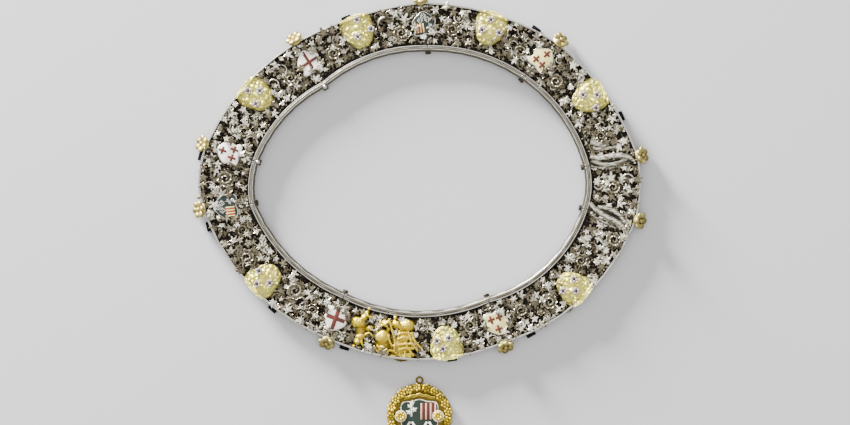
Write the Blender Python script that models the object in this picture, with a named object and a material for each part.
"""Shooting guild chain: an oval shoulder collar of nine hinged plates, and its round pendant.

The collar lies flat. X runs across the shoulders, Y from the breast to the nape, Z up.
Every size is in metres.
"""
from collections import namedtuple
import math

import bmesh
import bpy
from mathutils import Matrix, Vector

# Collar outline
COLLAR_WIDTH = 0.430
COLLAR_DEPTH = 0.348
SIDE_BAND_WIDTH = 0.0545
END_BAND_WIDTH = 0.048

# Link plate
RIM_HEIGHT = 0.0095
RIM_WALL = 0.0014
MOULDING_WIDTH = 0.0052
MOULDING_HEIGHT = 0.0098
MOULDING_SHOULDER = 0.78
MOULDING_CROWN = 0.40
FLOOR = 0.0016
END_WALL = 0.0034
END_WALL_HEIGHT = 0.0077
JOINT_GAP = 0.0006
CLEARANCE = 0.0003
LONG_STEPS = 6
SHORT_STEPS = 3

# Hinge
PIN_RADIUS = 0.0012
KNUCKLE_RADIUS = 0.0027
HINGE_HEIGHT = 0.0042
KNUCKLE_REACH = 0.0028
PIN_HEAD_RADIUS = 0.0019
PIN_HEAD_LENGTH = 0.0010
KNUCKLE_SIDES = 8
PIN_SIDES = 6
FLOWER_RADIUS = 0.0072
FLOWER_THICKNESS = 0.0018
FLOWER_DOME = 0.0012
FLOWER_STAND = 0.0050
FLOWER_HEIGHT = 0.0066
FLOWER_TILT = math.radians(50)
FLOWER_PETALS = 5
FLOWER_TAPER = 0.86
PETAL_NOTCH = 0.78

# Back lugs
LUG_WIDTH = 0.0085
LUG_REACH = 0.0036
LUG_THICKNESS = 0.0014
LUG_LIFT = 0.0008

# Foliage
GROUND_THICKNESS = 0.0011
LEAF_LENGTH = 0.0128
LEAF_WIDTH = 0.0085
LEAF_HEIGHT = 0.0058
LEAF_LOBES = 4
LEAF_NOTCH = 0.66
LEAF_EDGE = 0.72
LEAF_TAPER = 0.80
LEAVES_IN_RING = 5
RING_TURN = 0.11
SCROLL_RADIUS = 0.0062
SCROLL_HEIGHT = 0.0066
SCROLL_SIDES = 8
SCROLL_DISH = 0.0024
SCROLL_TAPER = 0.72
LEAF_TILT = math.radians(12)

# Mountains
MOUNTAIN_BASE = 0.0370
MOUNTAIN_TOP = 0.0230
MOUNTAIN_LENGTH = 0.0325
MOUNTAIN_HEIGHT = 0.0086
MOUNTAIN_MERIDIANS = 12
MOUNTAIN_RINGS = 6
MOUNTAIN_ROUNDING = 0.75
MOUNTAIN_STEEPNESS = 0.60
LUMP_DEPTH = 0.10
LUMPS_ACROSS = 7
LUMPS_ALONG = 6
LUMP_SLANT = 2
ROSETTE_RADIUS = 0.0028
ROSETTE_HEIGHT = 0.0016
ROSETTE_SIDES = 6
ROSETTE_TAPER = 0.55
ROSETTE_SPREAD = 0.0064
ROSETTE_SEAT = 0.86

# Shields
SHIELD_WIDTH = 0.0235
SHIELD_LENGTH = 0.0240
SHIELD_THICKNESS = 0.0020
SHIELD_BORDER = 0.0014
SHIELD_SINK = 0.0006
SHIELD_BEVEL = 0.00035
SHIELD_ACROSS = 0.57

# Trunks
TRUNK_RADIUS = 0.0022
TRUNK_SPREAD = 0.0088
STEM_ROUNDNESS = 1

# Figure group
FIGURE_HEIGHT = 0.0080
SLIM_LUMP = 0.095

# Pendant
PENDANT_RADIUS = 0.0325
PENDANT_DROP = 0.0215
PENDANT_BACKING = 0.0022
WREATH_ROSETTE = 0.0042
WREATH_ROSETTES = 18
WREATH_HEIGHT = 0.0068
WREATH_OVERHANG = 0.0010
WREATH_STEPS = 24
BEAD_SIDES = 10
LOOP_STEPS = 10
LOOP_SIDES = 5
LOOP_RADIUS = 0.0030
LOOP_WIRE = 0.0009
PENDANT_SHIELD_LENGTH_SHARE = 0.72
PENDANT_SHIELD_DROP = 0.0016
PENDANT_SHIELD_THICKNESS = 0.0028
ROUNDEL_RADIUS = 0.0046
ROUNDEL_HEIGHT = 0.0042
ROUNDEL_TAPER = 0.60
DRAPE_RADIUS = 0.0018
DRAPE_RISE_SHARE = 0.60
DRAPE_END_SHARE = 0.50
DRAPE_STEPS = 8

# Meshes
SHARP_ANGLE = math.radians(35)
MERGE_DISTANCE = 1e-6

# Joint pins, counter-clockwise from the nape: the angle on the outer and inner oval in degrees,
# and the distance as a share of that oval.
Joint = namedtuple("Joint", "outer_angle outer_share inner_angle inner_share cover")
JOINTS = (
    Joint(89.6, 0.994, 87.1, 1.000, "shield"),
    Joint(125.7, 0.952, 128.3, 0.920, "shield"),
    Joint(168.2, 0.982, 171.5, 0.985, "shield"),
    Joint(189.1, 0.987, 189.7, 1.006, "shield"),
    Joint(244.9, 0.971, 242.4, 0.971, "shield"),
    Joint(292.9, 0.978, 294.6, 0.980, "shield"),
    Joint(347.5, 0.999, 348.0, 1.002, "trunk"),
    Joint(8.0, 0.994, 6.2, 0.998, "trunk"),
    Joint(50.9, 0.989, 51.7, 0.998, "shield"),
)

# Links from each joint to the next: the rise of the outer and inner arc as a share of its chord,
# and the place of the mountain along the link, with none on the two short links.
Link = namedtuple("Link", "outer_rise inner_rise steps mountain")
LINKS = (
    Link(0.050, 0.095, LONG_STEPS, 0.53),
    Link(0.075, 0.092, LONG_STEPS, 0.49),
    Link(0.095, 0.060, SHORT_STEPS, None),
    Link(0.110, 0.100, LONG_STEPS, 0.51),
    Link(0.108, 0.115, LONG_STEPS, 0.68),
    Link(0.118, 0.130, LONG_STEPS, 0.50),
    Link(0.060, 0.070, SHORT_STEPS, None),
    Link(0.070, 0.090, LONG_STEPS, 0.54),
    Link(0.070, 0.078, LONG_STEPS, 0.48),
)

# Scrolls of the foliage: the link they are on, and their place along and across it.
Scroll = namedtuple("Scroll", "link along across")
SCROLLS = (
    Scroll(0, 0.22, 0.42),
    Scroll(0, 0.79, 0.46),
    Scroll(1, 0.20, 0.50),
    Scroll(1, 0.79, 0.48),
    Scroll(2, 0.48, 0.52),
    Scroll(3, 0.17, 0.45),
    Scroll(3, 0.34, 0.68),
    Scroll(3, 0.69, 0.46),
    Scroll(3, 0.85, 0.60),
    Scroll(4, 0.86, 0.44),
    Scroll(5, 0.17, 0.50),
    Scroll(5, 0.34, 0.64),
    Scroll(5, 0.66, 0.46),
    Scroll(5, 0.85, 0.62),
    Scroll(6, 0.51, 0.50),
    Scroll(7, 0.22, 0.50),
    Scroll(7, 0.80, 0.42),
    Scroll(8, 0.18, 0.48),
    Scroll(8, 0.77, 0.48),
)

# Back lugs: the link they are on and their place along it.
Lug = namedtuple("Lug", "link along")
LUGS = (
    Lug(0, 0.58),
    Lug(8, 0.18),
    Lug(7, 0.31),
    Lug(3, 0.10),
    Lug(3, 0.66),
    Lug(4, 0.10),
    Lug(4, 0.70),
    Lug(5, 0.15),
    Lug(2, 0.18),
)

# Half outline of a shield, as shares of its width and length, from the top middle to the foot.
ShieldPoint = namedtuple("ShieldPoint", "side height")
SHIELD_HALF = (
    ShieldPoint(0.00, 0.44),
    ShieldPoint(0.26, 0.50),
    ShieldPoint(0.47, 0.42),
    ShieldPoint(0.38, 0.20),
    ShieldPoint(0.50, -0.04),
    ShieldPoint(0.40, -0.22),
    ShieldPoint(0.22, -0.38),
    ShieldPoint(0.00, -0.50),
)

# Two stems of a tree trunk, as shares of the hinge's length and of the trunk's spread.
StemPoint = namedtuple("StemPoint", "along side thickness")
TRUNK_STEMS = (
    (
        StemPoint(0.15, 0.10, 0.95),
        StemPoint(0.32, 0.42, 1.15),
        StemPoint(0.50, 0.34, 0.85),
        StemPoint(0.68, 0.52, 1.10),
        StemPoint(0.88, 0.14, 0.75),
    ),
    (
        StemPoint(0.17, -0.22, 0.80),
        StemPoint(0.36, -0.50, 1.05),
        StemPoint(0.56, -0.28, 0.80),
        StemPoint(0.72, -0.46, 0.95),
        StemPoint(0.90, -0.06, 0.85),
    ),
    (
        StemPoint(0.24, -0.36, 0.70),
        StemPoint(0.42, 0.02, 0.60),
        StemPoint(0.60, 0.44, 0.70),
    ),
)

# Figure group on the breast plate. Each lump's place and size are shares of GROUP_WIDTH.
GROUP_LINK = 4
GROUP_WIDTH = 0.0690
GROUP_ALONG = 0.285
GROUP_ACROSS = 0.54
GROUP_TURN = math.radians(-6)
Lump = namedtuple("Lump", "x y length width height turn")
HORSE_AND_RIDER = (
    Lump(0.20, -0.02, 0.30, 0.16, 0.95, 14),
    Lump(0.30, -0.04, 0.17, 0.18, 0.95, 0),
    Lump(0.09, 0.07, 0.17, 0.10, 0.85, 125),
    Lump(0.03, 0.14, 0.14, 0.08, 0.75, 35),
    Lump(0.08, -0.07, 0.20, 0.06, 0.60, 55),
    Lump(0.30, -0.17, 0.20, 0.06, 0.65, 80),
    Lump(0.22, -0.16, 0.18, 0.06, 0.60, 110),
    Lump(0.37, -0.08, 0.22, 0.06, 0.60, 70),
    Lump(0.22, 0.12, 0.18, 0.12, 1.00, 95),
    Lump(0.22, 0.24, 0.09, 0.09, 0.95, 0),
    Lump(0.10, 0.05, 0.30, 0.04, 1.00, 48),
    Lump(0.24, -0.26, 0.50, 0.09, 0.50, 4),
)
DRAGON = (
    Lump(-0.15, -0.10, 0.22, 0.17, 0.80, 20),
    Lump(-0.23, -0.02, 0.14, 0.09, 0.75, 60),
    Lump(-0.22, -0.17, 0.16, 0.07, 0.65, 150),
    Lump(-0.09, -0.22, 0.18, 0.06, 0.60, 160),
)
LADY = (
    Lump(-0.42, 0.03, 0.22, 0.15, 0.80, 80),
    Lump(-0.39, 0.14, 0.12, 0.09, 0.80, 85),
    Lump(-0.38, 0.22, 0.08, 0.08, 0.80, 0),
    Lump(-0.34, 0.12, 0.10, 0.04, 0.60, 20),
)

# Materials: colour, roughness and metallic value
Finish = namedtuple("Finish", "colour roughness metallic")
FINISHES = {
    "aged_silver": Finish((0.62, 0.60, 0.56), 0.30, 1.0),
    "gilt": Finish((0.90, 0.76, 0.38), 0.28, 1.0),
    "pale_gilt": Finish((0.90, 0.84, 0.52), 0.35, 1.0),
    "enamel": Finish((0.90, 0.87, 0.78), 0.12, 0.0),
}

PARTS = bpy.data.collections.new("shooting_guild_chain")
CUTTERS = bpy.data.collections.new("cutters")


def clear_scene():
    """Removes whatever the opened file holds."""
    for obj in list(bpy.data.objects):
        bpy.data.objects.remove(obj, do_unlink=True)


def make_material(name, finish):
    """A Principled material with the given finish."""
    material = bpy.data.materials.new(name)
    material.use_nodes = True
    shader = material.node_tree.nodes["Principled BSDF"]
    shader.inputs["Base Color"].default_value = (*finish.colour, 1.0)
    shader.inputs["Roughness"].default_value = finish.roughness
    shader.inputs["Metallic"].default_value = finish.metallic
    return material


def make_object(name, bm, collection):
    """Turns a bmesh into an object of the collection."""
    mesh = bpy.data.meshes.new(name)
    bm.to_mesh(mesh)
    bm.free()
    obj = bpy.data.objects.new(name, mesh)
    collection.objects.link(obj)
    return obj


def make_tool(bm):
    """A helper shape for a Boolean, kept out of the render."""
    obj = make_object("tool", bm, CUTTERS)
    obj.hide_render = True
    obj.display_type = "WIRE"
    return obj


def combine(obj, tools, operation):
    """Joins the tools to the object or cuts it with them, and removes the tools."""
    group = bpy.data.collections.new("tools")
    CUTTERS.children.link(group)
    for tool in tools:
        CUTTERS.objects.unlink(tool)
        group.objects.link(tool)
    modifier = obj.modifiers.new(operation.lower(), "BOOLEAN")
    modifier.operation = operation
    modifier.solver = "EXACT"
    modifier.operand_type = "COLLECTION"
    modifier.collection = group
    graph = bpy.context.evaluated_depsgraph_get()
    mesh = bpy.data.meshes.new_from_object(obj.evaluated_get(graph))
    obj.modifiers.remove(modifier)
    old = obj.data
    obj.data = mesh
    bpy.data.meshes.remove(old)
    mesh.name = obj.name
    for tool in tools:
        bpy.data.objects.remove(tool, do_unlink=True)
    bpy.data.collections.remove(group)


def finish_part(obj, material, parent):
    """Gives a finished piece its material, smooth shading and parent."""
    obj.data.materials.clear()
    obj.data.materials.append(material)
    obj.data.shade_smooth()
    obj.data.set_sharp_from_angle(angle=SHARP_ANGLE)
    obj.parent = parent


def loft(sections):
    """A closed body through sections that have the same number of points."""
    bm = bmesh.new()
    rings = [[bm.verts.new(point) for point in section] for section in sections]
    for near, far in zip(rings, rings[1:]):
        for i, vert in enumerate(near):
            after = (i + 1) % len(near)
            bm.faces.new((vert, near[after], far[after], far[i]))
    bm.faces.new(rings[0])
    bm.faces.new(rings[-1])
    bmesh.ops.recalc_face_normals(bm, faces=bm.faces)
    return bm


def rod(start, end, radius, sides, end_radius=None):
    """A closed cylinder or cone from one point to another."""
    axis = end - start
    turn = axis.to_track_quat("Z", "Y").to_matrix().to_4x4()
    bm = bmesh.new()
    bmesh.ops.create_cone(
        bm,
        cap_ends=True,
        segments=sides,
        radius1=radius,
        radius2=radius if end_radius is None else end_radius,
        depth=axis.length,
        matrix=Matrix.Translation((start + end) / 2) @ turn,
    )
    return bm


def oval_point(half_width, half_depth, angle, share):
    """A point on the oval at an angle in degrees, moved in or out by a share."""
    turn = math.radians(angle)
    return Vector((half_width * math.cos(turn), half_depth * math.sin(turn), 0.0)) * share


def outer_joint(index):
    joint = JOINTS[index % len(JOINTS)]
    return oval_point(COLLAR_WIDTH / 2, COLLAR_DEPTH / 2, joint.outer_angle, joint.outer_share)


def inner_joint(index):
    joint = JOINTS[index % len(JOINTS)]
    half_width = COLLAR_WIDTH / 2 - SIDE_BAND_WIDTH
    half_depth = COLLAR_DEPTH / 2 - END_BAND_WIDTH
    return oval_point(half_width, half_depth, joint.inner_angle, joint.inner_share)


def arc_point(start, end, rise, share):
    """A point on the circular arc that rises from the chord by a share of its length."""
    chord = end - start
    height = rise * chord.length
    radius = (chord.length**2 / 4 + height**2) / (2 * height)
    half_angle = math.asin(chord.length / 2 / radius)
    angle = (2 * share - 1) * half_angle
    along = chord.normalized()
    outwards = Vector((along.y, -along.x, 0.0))
    return (
        (start + end) / 2
        + along * (radius * math.sin(angle))
        + outwards * (radius * math.cos(angle) - radius + height)
    )


def edge_points(index, along):
    """The inner and outer edge of a link at a share of its length."""
    link = LINKS[index]
    inner = arc_point(inner_joint(index), inner_joint(index + 1), link.inner_rise, along)
    outer = arc_point(outer_joint(index), outer_joint(index + 1), link.outer_rise, along)
    return inner, outer


def share_along(index, length):
    """The share of a link's length that a length on its inner edge takes up."""
    return length / (inner_joint(index + 1) - inner_joint(index)).length


def place_on_band(index, along, across, height):
    """A matrix at a place on the band: X along the link, Y towards the neck, Z up."""
    inner, outer = edge_points(index, along)
    inwards = (inner - outer).normalized()
    right = inwards.cross(Vector((0.0, 0.0, 1.0)))
    rotation = Matrix((right, inwards, Vector((0.0, 0.0, 1.0)))).transposed().to_4x4()
    place = inner.lerp(outer, across)
    place.z = height
    return Matrix.Translation(place) @ rotation


def place_on_hinge(index, across, height):
    """A matrix on a hinge line: X outwards along the pin, Z up."""
    inner, outer = inner_joint(index), outer_joint(index)
    outwards = (outer - inner).normalized()
    side = Vector((0.0, 0.0, 1.0)).cross(outwards)
    rotation = Matrix((outwards, side, Vector((0.0, 0.0, 1.0)))).transposed().to_4x4()
    place = inner.lerp(outer, across)
    place.z = height
    return Matrix.Translation(place) @ rotation


def hinge_length(index):
    return (outer_joint(index) - inner_joint(index)).length


def hinge_point(index, distance):
    """A point on the pin's axis, at a distance outwards from the inner edge."""
    inner, outer = inner_joint(index), outer_joint(index)
    point = inner + (outer - inner).normalized() * distance
    point.z = HINGE_HEIGHT
    return point


def knuckle_spans(index):
    """Start and end of the three knuckles, as distances from the inner edge."""
    start = -KNUCKLE_REACH
    end = hinge_length(index) - RIM_WALL - 2 * CLEARANCE
    third = (end - start) / 3
    return [(start + third * i, start + third * (i + 1)) for i in range(3)]


def knuckle_rods(index, middle, radius, overlap):
    """The middle knuckle of a hinge or the two outer ones, longer by an overlap at both ends."""
    tools = []
    for number, (start, end) in enumerate(knuckle_spans(index)):
        if (number == 1) == middle:
            points = hinge_point(index, start - overlap), hinge_point(index, end + overlap)
            tools.append(make_tool(rod(*points, radius, KNUCKLE_SIDES)))
    return tools


def pin_bore(index):
    start = hinge_point(index, -2 * KNUCKLE_REACH)
    end = hinge_point(index, hinge_length(index) + KNUCKLE_REACH)
    return make_tool(rod(start, end, PIN_RADIUS + CLEARANCE, PIN_SIDES))


def tray_section(index, along, floor):
    """Cross-section of a link: floor, outer rim and rounded inner moulding."""
    inner, outer = edge_points(index, along)
    outwards = (outer - inner).normalized()
    shoulder = MOULDING_HEIGHT * MOULDING_SHOULDER
    crown_start = MOULDING_WIDTH * (1 - MOULDING_CROWN) / 2
    profile = (
        (inner, 0.0, 0.0),
        (outer, 0.0, 0.0),
        (outer, 0.0, RIM_HEIGHT),
        (outer, -RIM_WALL, RIM_HEIGHT),
        (outer, -RIM_WALL, floor),
        (inner, MOULDING_WIDTH, floor),
        (inner, MOULDING_WIDTH, max(shoulder, floor + CLEARANCE)),
        (inner, MOULDING_WIDTH - crown_start, MOULDING_HEIGHT),
        (inner, crown_start, MOULDING_HEIGHT),
        (inner, 0.0, shoulder),
    )
    return [base + outwards * offset + Vector((0.0, 0.0, z)) for base, offset, z in profile]


def inner_stations(index, start, end):
    steps = LINKS[index].steps
    return [start + (end - start) * step / steps for step in range(steps + 1)]


def lug_block(index, along):
    """A flat lug that stands out from under the outer rim."""
    place = place_on_band(index, along, 1.0, LUG_LIFT + LUG_THICKNESS / 2)
    bm = bmesh.new()
    depth = LUG_REACH + RIM_WALL / 2
    size = Matrix.Diagonal((LUG_WIDTH, depth, LUG_THICKNESS, 1.0))
    shift = Matrix.Translation((0.0, depth / 2 - LUG_REACH, 0.0))
    bmesh.ops.create_cube(bm, size=1.0, matrix=place @ shift @ size)
    return make_tool(bm)


def make_link(index):
    """One plate: a tray with end walls, knuckles, pin bores and lugs."""
    end_gap = share_along(index, JOINT_GAP / 2)
    wall = share_along(index, END_WALL)
    step = share_along(index, CLEARANCE)
    sections = [
        tray_section(index, end_gap, END_WALL_HEIGHT),
        tray_section(index, wall, END_WALL_HEIGHT),
    ]
    for along in inner_stations(index, wall + step, 1 - wall - step):
        sections.append(tray_section(index, along, FLOOR))
    sections.append(tray_section(index, 1 - wall, END_WALL_HEIGHT))
    sections.append(tray_section(index, 1 - end_gap, END_WALL_HEIGHT))
    obj = make_object(f"link_{index + 1}", loft(sections), PARTS)
    after = (index + 1) % len(JOINTS)
    joined = knuckle_rods(index, True, KNUCKLE_RADIUS, 0.0)
    joined += knuckle_rods(after, False, KNUCKLE_RADIUS, 0.0)
    joined += [lug_block(lug.link, lug.along) for lug in LUGS if lug.link == index]
    combine(obj, joined, "UNION")
    room = KNUCKLE_RADIUS + CLEARANCE
    cuts = knuckle_rods(index, False, room, CLEARANCE / 2)
    cuts += knuckle_rods(after, True, room, CLEARANCE / 2)
    combine(obj, cuts, "DIFFERENCE")
    combine(obj, [pin_bore(index), pin_bore(after)], "DIFFERENCE")
    return obj


def band_block(index, start, end, inner_offset, outer_offset, bottom, top):
    """A closed block that follows the band between two shares of its length."""
    sections = []
    for along in inner_stations(index, start, end):
        inner, outer = edge_points(index, along)
        outwards = (outer - inner).normalized()
        near, far = inner + outwards * inner_offset, outer - outwards * outer_offset
        corners = ((near, bottom), (far, bottom), (far, top), (near, top))
        sections.append([point + Vector((0.0, 0.0, z)) for point, z in corners])
    return loft(sections)


def lobed_disc(lobes, notch, bottom_radius, top_radius, depth, rise):
    """A disc with notches round its edge and its top raised to a point or dished."""
    bm = bmesh.new()
    points = 2 * lobes
    bmesh.ops.create_cone(
        bm,
        cap_ends=True,
        segments=points,
        radius1=bottom_radius,
        radius2=top_radius,
        depth=depth,
    )
    for vert in bm.verts:
        if round(math.atan2(vert.co.y, vert.co.x) * points / math.tau) % 2:
            vert.co.x *= notch
            vert.co.y *= notch
    top = max(bm.faces, key=lambda face: face.calc_center_median().z)
    for vert in bmesh.ops.poke(bm, faces=[top])["verts"]:
        vert.co.z += rise
    return bm


def leaf(place):
    """A serrated leaf with a raised middle, standing on its place."""
    rise = 1 / LEAF_EDGE - 1
    bm = lobed_disc(LEAF_LOBES, LEAF_NOTCH, 1.0, LEAF_TAPER, 1.0, rise)
    lift = Matrix.Translation((0.0, 0.0, 0.5))
    size = Matrix.Diagonal((LEAF_LENGTH / 2, LEAF_WIDTH / 2, LEAF_HEIGHT * LEAF_EDGE, 1.0))
    bm.transform(size @ lift)
    for vert in bm.verts:
        if vert.co.z > CLEARANCE:
            vert.co.z += vert.co.y * math.tan(LEAF_TILT)
    bm.transform(place)
    return make_tool(bm)


def scroll(place):
    """A round acanthus scroll with a dished middle."""
    top_radius = SCROLL_RADIUS * SCROLL_TAPER
    bm = lobed_disc(SCROLL_SIDES // 2, 1.0, SCROLL_RADIUS, top_radius, SCROLL_HEIGHT, -SCROLL_DISH)
    bm.transform(place @ Matrix.Translation((0.0, 0.0, SCROLL_HEIGHT / 2)))
    return make_tool(bm)


def ground_top():
    return FLOOR + CLEARANCE + GROUND_THICKNESS


def seat_floor():
    """The bottom of the shallow seats that mountains and figures stand in."""
    return ground_top() - CLEARANCE


def scroll_with_leaves(item, number):
    """A scroll and the ring of leaves that grows from it."""
    root = FLOOR + CLEARANCE + GROUND_THICKNESS / 2
    place = place_on_band(item.link, item.along, item.across, root)
    tools = [scroll(place)]
    for step in range(LEAVES_IN_RING):
        turn = math.tau * (step / LEAVES_IN_RING + RING_TURN * number)
        reach = SCROLL_RADIUS + LEAF_LENGTH / 2 + CLEARANCE
        spin = Matrix.Rotation(turn, 4, "Z") @ Matrix.Translation((reach, 0.0, 0.0))
        tools.append(leaf(place @ spin))
    return tools


def link_room(index, bottom):
    """The room inside a link's walls, with clearance, from a height upwards."""
    inset = share_along(index, END_WALL + 2 * CLEARANCE)
    near, far = MOULDING_WIDTH + CLEARANCE, RIM_WALL + CLEARANCE
    return make_tool(band_block(index, inset, 1 - inset, near, far, bottom, 2 * RIM_HEIGHT))


def joint_clearances(index):
    """Cuts the foliage down to the end walls' height where a cover lies over the hinge."""
    tools = []
    reach = share_along(index, SHIELD_WIDTH / 2 + 2 * CLEARANCE)
    overshoot = share_along(index, CLEARANCE)
    for start, end in ((-overshoot, reach), (1 - reach, 1 + overshoot)):
        block = band_block(index, start, end, 0.0, 0.0, END_WALL_HEIGHT, 2 * RIM_HEIGHT)
        tools.append(make_tool(block))
    return tools


def mountain_seat(index):
    link = LINKS[index]
    half = share_along(index, MOUNTAIN_BASE / 2 + 2 * CLEARANCE)
    inner, outer = edge_points(index, link.mountain)
    near = (outer - inner).length - RIM_WALL - MOUNTAIN_LENGTH - 2 * CLEARANCE
    block = band_block(
        index, link.mountain - half, link.mountain + half, near, 0.0, seat_floor(), 2 * RIM_HEIGHT
    )
    return make_tool(block)


def group_seat(index):
    half = share_along(index, GROUP_WIDTH / 2 + 2 * CLEARANCE)
    block = band_block(
        index, GROUP_ALONG - half, GROUP_ALONG + half, 0.0, 0.0, seat_floor(), 2 * RIM_HEIGHT
    )
    return make_tool(block)


def make_foliage(index):
    """The panel of cast leaves that fills one link."""
    bottom = FLOOR + CLEARANCE
    inset = share_along(index, END_WALL + 3 * CLEARANCE)
    near, far = MOULDING_WIDTH + 2 * CLEARANCE, RIM_WALL + 2 * CLEARANCE
    ground = band_block(index, inset, 1 - inset, near, far, bottom, ground_top())
    obj = make_object(f"foliage_{index + 1}", ground, PARTS)
    tools = []
    for number, item in enumerate(SCROLLS):
        if item.link == index:
            tools += scroll_with_leaves(item, number)
    combine(obj, tools, "UNION")
    combine(obj, [link_room(index, bottom - CLEARANCE)], "INTERSECT")
    cuts = joint_clearances(index)
    if LINKS[index].mountain is not None:
        cuts.append(mountain_seat(index))
    if index == GROUP_LINK:
        cuts.append(group_seat(index))
    combine(obj, cuts, "DIFFERENCE")
    return obj


def mountain_mesh():
    """A lumpy rock, wide at the outer rim and narrow towards the neck, with a flat base."""
    bm = bmesh.new()
    bmesh.ops.create_uvsphere(
        bm, u_segments=MOUNTAIN_MERIDIANS, v_segments=MOUNTAIN_RINGS, radius=1.0
    )
    for vert in bm.verts:
        x, y, z = vert.co
        squared_x = math.copysign(abs(x) ** MOUNTAIN_ROUNDING, x)
        squared_y = math.copysign(abs(y) ** MOUNTAIN_ROUNDING, y)
        width = MOUNTAIN_BASE + (MOUNTAIN_TOP - MOUNTAIN_BASE) * (squared_y + 1) / 2
        wave = math.sin(LUMPS_ACROSS * x + LUMP_SLANT * y)
        wave *= math.cos(LUMPS_ALONG * y - LUMP_SLANT * x)
        vert.co.x = squared_x * width / 2
        vert.co.y = squared_y * MOUNTAIN_LENGTH / 2
        vert.co.z = MOUNTAIN_HEIGHT * (1 + LUMP_DEPTH * wave) * max(z, 0.0) ** MOUNTAIN_STEEPNESS
    return bm


def rosette(place):
    """A small round flower, raised on its place."""
    rise = Matrix.Translation((0.0, 0.0, ROSETTE_HEIGHT / 2))
    bm = bmesh.new()
    bmesh.ops.create_cone(
        bm,
        cap_ends=True,
        segments=ROSETTE_SIDES,
        radius1=ROSETTE_RADIUS,
        radius2=ROSETTE_RADIUS * ROSETTE_TAPER,
        depth=ROSETTE_HEIGHT,
        matrix=place @ rise,
    )
    return make_tool(bm)


def make_mountain(index):
    """A mountain with three rosettes, its wide end against the outer rim."""
    obj = make_object(f"mountain_{index + 1}", mountain_mesh(), PARTS)
    inner, outer = edge_points(index, LINKS[index].mountain)
    across = 1 - (RIM_WALL + MOUNTAIN_LENGTH / 2) / (outer - inner).length
    obj.matrix_local = place_on_band(index, LINKS[index].mountain, across, ground_top())
    bpy.context.view_layer.update()
    tools = []
    for step in range(3):
        turn = math.tau * step / 3 + index
        spot = Vector((math.cos(turn), math.sin(turn), 0.0)) * ROSETTE_SPREAD
        spot.z = MOUNTAIN_HEIGHT * ROSETTE_SEAT
        tools.append(rosette(obj.matrix_local @ Matrix.Translation(spot)))
    combine(obj, tools, "UNION")
    combine(obj, [link_room(index, FLOOR)], "INTERSECT")
    return obj


def shield_mesh(width, length, thickness, border, sink):
    """A cartouche shield with a raised border round its field, its foot towards -Y."""
    half = [Vector((p.side * width, p.height * length, 0.0)) for p in SHIELD_HALF]
    mirrored = [Vector((-p.x, p.y, 0.0)) for p in half[-2:0:-1]]
    bm = bmesh.new()
    face = bm.faces.new([bm.verts.new(point) for point in half + mirrored])
    face.normal_update()
    if face.normal.z > 0:
        face.normal_flip()
    raised = bmesh.ops.extrude_face_region(bm, geom=[face], use_keep_orig=True)
    top = [item for item in raised["geom"] if isinstance(item, bmesh.types.BMFace)]
    verts = [item for item in raised["geom"] if isinstance(item, bmesh.types.BMVert)]
    bmesh.ops.translate(bm, verts=verts, vec=(0.0, 0.0, thickness))
    bmesh.ops.recalc_face_normals(bm, faces=bm.faces)
    bmesh.ops.inset_region(bm, faces=top, thickness=border, depth=0.0, use_even_offset=True)
    bmesh.ops.inset_region(bm, faces=top, thickness=SHIELD_BEVEL, depth=-sink)
    return bm


def make_shield(index):
    """The enamelled shield over a hinge, its top towards the neck."""
    bm = shield_mesh(SHIELD_WIDTH, SHIELD_LENGTH, SHIELD_THICKNESS, SHIELD_BORDER, SHIELD_SINK)
    obj = make_object(f"shield_{index + 1}", bm, PARTS)
    turn = Matrix.Rotation(math.radians(90), 4, "Z")
    height = END_WALL_HEIGHT + CLEARANCE
    obj.matrix_local = place_on_hinge(index, SHIELD_ACROSS, height) @ turn
    return obj


def tube(points, radius, thicknesses):
    """A round stem through the points, as a closed mesh."""
    curve = bpy.data.curves.new("stem", "CURVE")
    curve.dimensions = "3D"
    curve.bevel_depth = radius
    curve.bevel_resolution = STEM_ROUNDNESS
    curve.use_fill_caps = True
    spline = curve.splines.new("POLY")
    spline.points.add(len(points) - 1)
    for target, point, thickness in zip(spline.points, points, thicknesses):
        target.co = (*point, 1.0)
        target.radius = thickness
    helper = bpy.data.objects.new("stem", curve)
    CUTTERS.objects.link(helper)
    graph = bpy.context.evaluated_depsgraph_get()
    mesh = bpy.data.meshes.new_from_object(helper.evaluated_get(graph))
    bpy.data.objects.remove(helper, do_unlink=True)
    bm = bmesh.new()
    bm.from_mesh(mesh)
    bpy.data.meshes.remove(mesh)
    bmesh.ops.remove_doubles(bm, verts=bm.verts, dist=MERGE_DISTANCE)
    bmesh.ops.recalc_face_normals(bm, faces=bm.faces)
    return bm


def make_trunk(index):
    """A bare tree trunk of twisted stems, laid over a hinge."""
    length = hinge_length(index)
    bodies = []
    for stem in TRUNK_STEMS:
        lift = TRUNK_RADIUS * max(point.thickness for point in stem)
        points = [Vector((p.along * length, p.side * TRUNK_SPREAD, lift)) for p in stem]
        bodies.append(tube(points, TRUNK_RADIUS, [p.thickness for p in stem]))
    obj = make_object(f"trunk_{index + 1}", bodies[0], PARTS)
    combine(obj, [make_tool(body) for body in bodies[1:]], "UNION")
    obj.matrix_local = place_on_hinge(index, 0.0, END_WALL_HEIGHT + CLEARANCE)
    return obj


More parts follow.
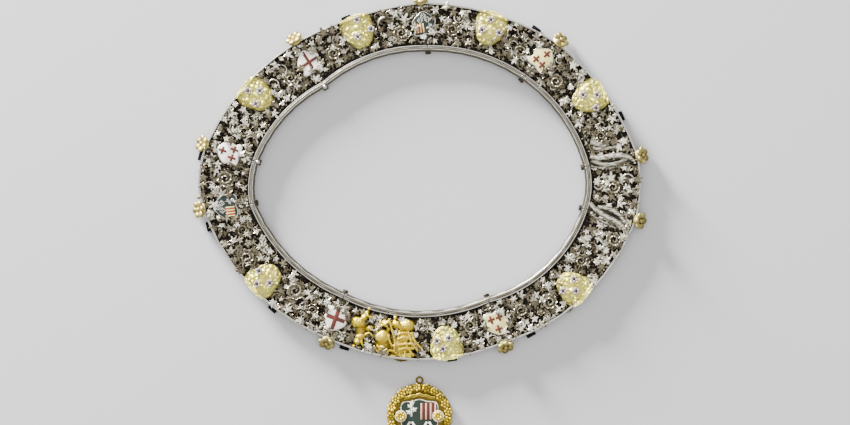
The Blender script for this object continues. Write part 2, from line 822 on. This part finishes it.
def make_pin(index):
    """A hinge pin with a small inner head and a flower head outside the rim."""
    length = hinge_length(index)
    inner_end = -KNUCKLE_REACH - CLEARANCE
    shank_start = Vector((inner_end - PIN_HEAD_LENGTH / 2, 0.0, 0.0))
    middle = Vector((length + FLOWER_STAND, 0.0, FLOWER_HEIGHT - HINGE_HEIGHT))
    shank_end = Vector((length + FLOWER_STAND + PIN_RADIUS, 0.0, 0.0))
    shank = rod(shank_start, shank_end, PIN_RADIUS, PIN_SIDES)
    obj = make_object(f"pin_{index + 1}", shank, PARTS)
    head_end = Vector((inner_end - PIN_HEAD_LENGTH, 0.0, 0.0))
    head = rod(Vector((inner_end, 0.0, 0.0)), head_end, PIN_HEAD_RADIUS, PIN_SIDES, PIN_RADIUS)
    back_radius = FLOWER_RADIUS * FLOWER_TAPER
    flower = lobed_disc(
        FLOWER_PETALS, PETAL_NOTCH, back_radius, FLOWER_RADIUS, FLOWER_THICKNESS, FLOWER_DOME
    )
    flower.transform(Matrix.Translation(middle) @ Matrix.Rotation(FLOWER_TILT, 4, "Y"))
    combine(obj, [make_tool(head), make_tool(flower)], "UNION")
    obj.matrix_local = place_on_hinge(index, 0.0, HINGE_HEIGHT)
    return obj


def ellipsoid(place, size, detail):
    bm = bmesh.new()
    scale = Matrix.Diagonal((*(size / 2), 1.0))
    bmesh.ops.create_icosphere(bm, subdivisions=detail, radius=1.0, matrix=place @ scale)
    return make_tool(bm)


def make_figure(name, lumps):
    """A gilt figure in relief, of lumps cut level at their foot and clear of the link's walls."""
    place = place_on_band(GROUP_LINK, GROUP_ALONG, GROUP_ACROSS, ground_top())
    place = place @ Matrix.Rotation(GROUP_TURN, 4, "Z")
    tools = []
    for lump in lumps:
        height = 2 * FIGURE_HEIGHT * lump.height
        size = Vector((lump.length * GROUP_WIDTH, lump.width * GROUP_WIDTH, height))
        spot = Vector((lump.x * GROUP_WIDTH, lump.y * GROUP_WIDTH, 0.0))
        turn = Matrix.Rotation(math.radians(lump.turn), 4, "Z")
        detail = 1 if lump.width < SLIM_LUMP else 2
        tools.append(ellipsoid(place @ Matrix.Translation(spot) @ turn, size, detail))
    obj = make_object(name, bmesh_of(tools.pop(0)), PARTS)
    combine(obj, tools, "UNION")
    combine(obj, [link_room(GROUP_LINK, ground_top())], "INTERSECT")
    return obj


def bmesh_of(obj):
    """The bmesh of a helper, which is then removed."""
    bm = bmesh.new()
    bm.from_mesh(obj.data)
    bpy.data.objects.remove(obj, do_unlink=True)
    return bm


def make_pendant_frame():
    """The round backing with its wreath of rosettes and the loop at its top."""
    top = Vector((0.0, 0.0, PENDANT_BACKING))
    backing = rod(Vector(), top, PENDANT_RADIUS - WREATH_OVERHANG, WREATH_STEPS)
    obj = make_object("pendant_wreath", backing, PARTS)
    tools = []
    for number in range(WREATH_ROSETTES):
        turn = math.tau * (number + 0.5) / WREATH_ROSETTES
        spot = Vector((math.cos(turn), math.sin(turn), 0.0)) * (PENDANT_RADIUS - WREATH_ROSETTE)
        start = spot + top / 2
        end = spot + Vector((0.0, 0.0, WREATH_HEIGHT))
        cone = rod(start, end, WREATH_ROSETTE, SCROLL_SIDES, WREATH_ROSETTE * ROSETTE_TAPER)
        tools.append(make_tool(cone))
    loop_middle = Vector((0.0, PENDANT_RADIUS + LOOP_RADIUS - LOOP_WIRE, LOOP_WIRE + CLEARANCE))
    loop = []
    for step in range(LOOP_STEPS):
        turn = math.tau * step / LOOP_STEPS
        loop.append(Vector((math.cos(turn), math.sin(turn), 0.0)) * LOOP_RADIUS + loop_middle)
    tools.append(make_tool(ring_tube(loop, LOOP_WIRE, LOOP_SIDES)))
    combine(obj, tools, "UNION")
    return obj


def ring_tube(points, radius, sides):
    """A closed ring of round wire through points in a level circle."""
    middle = sum(points, Vector()) / len(points)
    bm = bmesh.new()
    rings = []
    for point in points:
        outwards = (point - middle).normalized()
        ring = []
        for step in range(sides):
            turn = math.tau * (step + 0.5) / sides
            offset = outwards * math.cos(turn) + Vector((0.0, 0.0, math.sin(turn)))
            ring.append(bm.verts.new(point + offset * radius))
        rings.append(ring)
    for number, near in enumerate(rings):
        far = rings[(number + 1) % len(rings)]
        for i, vert in enumerate(near):
            after = (i + 1) % sides
            bm.faces.new((vert, near[after], far[after], far[i]))
    bmesh.ops.recalc_face_normals(bm, faces=bm.faces)
    return bm


def wreath_room():
    """Radius of the round field inside the wreath."""
    return PENDANT_RADIUS - 2 * WREATH_ROSETTE - CLEARANCE


def pendant_shield_size():
    """The shield reaches from roundel to roundel, and leaves room for the drape above it."""
    return 2 * (wreath_room() - ROUNDEL_RADIUS), 2 * wreath_room() * PENDANT_SHIELD_LENGTH_SHARE


def roundel_spot(side):
    width = pendant_shield_size()[0]
    return Vector((side * width / 2, 0.0, PENDANT_BACKING + CLEARANCE))


def make_pendant_shield():
    bm = shield_mesh(
        *pendant_shield_size(),
        PENDANT_SHIELD_THICKNESS,
        SHIELD_BORDER,
        SHIELD_SINK,
    )
    bmesh.ops.translate(bm, verts=bm.verts, vec=(0.0, -PENDANT_SHIELD_DROP, 0.0))
    obj = make_object("pendant_shield", bm, PARTS)
    tools = []
    for side in (-1, 1):
        start = roundel_spot(side) - Vector((0.0, 0.0, 2 * PENDANT_BACKING))
        end = start + Vector((0.0, 0.0, 4 * PENDANT_SHIELD_THICKNESS))
        tools.append(make_tool(rod(start, end, ROUNDEL_RADIUS + CLEARANCE, BEAD_SIDES)))
    combine(obj, tools, "DIFFERENCE")
    obj.location.z = PENDANT_BACKING + CLEARANCE
    return obj


def make_roundel(name, side):
    start = Vector((0.0, 0.0, 0.0))
    end = Vector((0.0, 0.0, ROUNDEL_HEIGHT))
    bm = rod(start, end, ROUNDEL_RADIUS, BEAD_SIDES, ROUNDEL_RADIUS * ROUNDEL_TAPER)
    obj = make_object(name, bm, PARTS)
    obj.location = roundel_spot(side)
    return obj


def make_drape():
    """The gilt drape that hangs in an arc over the pendant's shield."""
    foot = pendant_shield_size()[1] / 2 - PENDANT_SHIELD_DROP + CLEARANCE + DRAPE_RADIUS
    half_length = math.sqrt((wreath_room() - DRAPE_RADIUS * DRAPE_END_SHARE) ** 2 - foot**2)
    rise = (wreath_room() - foot - DRAPE_RADIUS) * DRAPE_RISE_SHARE
    points, thicknesses = [], []
    for step in range(DRAPE_STEPS + 1):
        side = 2 * step / DRAPE_STEPS - 1
        bow = 1 - side**2
        points.append(Vector((side * half_length, foot + rise * bow, 0.0)))
        thicknesses.append(DRAPE_END_SHARE + (1 - DRAPE_END_SHARE) * bow)
    obj = make_object("pendant_drape", tube(points, DRAPE_RADIUS, thicknesses), PARTS)
    obj.location.z = PENDANT_BACKING + CLEARANCE + DRAPE_RADIUS
    return obj


def plan_box():
    """Left, right and top of the collar, with its flower heads."""
    reach = FLOWER_STAND + FLOWER_RADIUS * math.cos(FLOWER_TILT)
    spots = []
    for index in range(len(JOINTS)):
        outwards = (outer_joint(index) - inner_joint(index)).normalized()
        spots.append(outer_joint(index) + outwards * reach)
        spots += [edge_points(index, step / LONG_STEPS)[1] for step in range(LONG_STEPS)]
    return min(p.x for p in spots), max(p.x for p in spots), max(p.y for p in spots)


def make_anchor(name, location):
    """An empty that carries pieces at its place."""
    anchor = bpy.data.objects.new(name, None)
    anchor.location = location
    PARTS.objects.link(anchor)
    return anchor


def main():
    clear_scene()
    scene = bpy.context.scene
    scene.collection.children.link(PARTS)
    scene.collection.children.link(CUTTERS)
    materials = {name: make_material(name, finish) for name, finish in FINISHES.items()}

    left, right, top = plan_box()
    pendant_y = -COLLAR_DEPTH / 2 - PENDANT_DROP - PENDANT_RADIUS
    middle = Vector(((left + right) / 2, (top + pendant_y - PENDANT_RADIUS) / 2, 0.0))
    collar = make_anchor("collar_centre", -middle)
    pendant = make_anchor("pendant_centre", Vector((0.0, pendant_y, 0.0)) - middle)

    for index in range(len(LINKS)):
        finish_part(make_link(index), materials["aged_silver"], collar)
        finish_part(make_foliage(index), materials["aged_silver"], collar)
        finish_part(make_pin(index), materials["gilt"], collar)
        if LINKS[index].mountain is not None:
            finish_part(make_mountain(index), materials["pale_gilt"], collar)
        if JOINTS[index].cover == "shield":
            finish_part(make_shield(index), materials["enamel"], collar)
        else:
            finish_part(make_trunk(index), materials["aged_silver"], collar)
    finish_part(make_figure("horse_and_rider", HORSE_AND_RIDER), materials["gilt"], collar)
    finish_part(make_figure("dragon", DRAGON), materials["gilt"], collar)
    finish_part(make_figure("lady", LADY), materials["gilt"], collar)

    finish_part(make_pendant_frame(), materials["gilt"], pendant)
    finish_part(make_pendant_shield(), materials["enamel"], pendant)
    finish_part(make_roundel("pendant_roundel_left", -1), materials["gilt"], pendant)
    finish_part(make_roundel("pendant_roundel_right", 1), materials["gilt"], pendant)
    finish_part(make_drape(), materials["gilt"], pendant)


main()
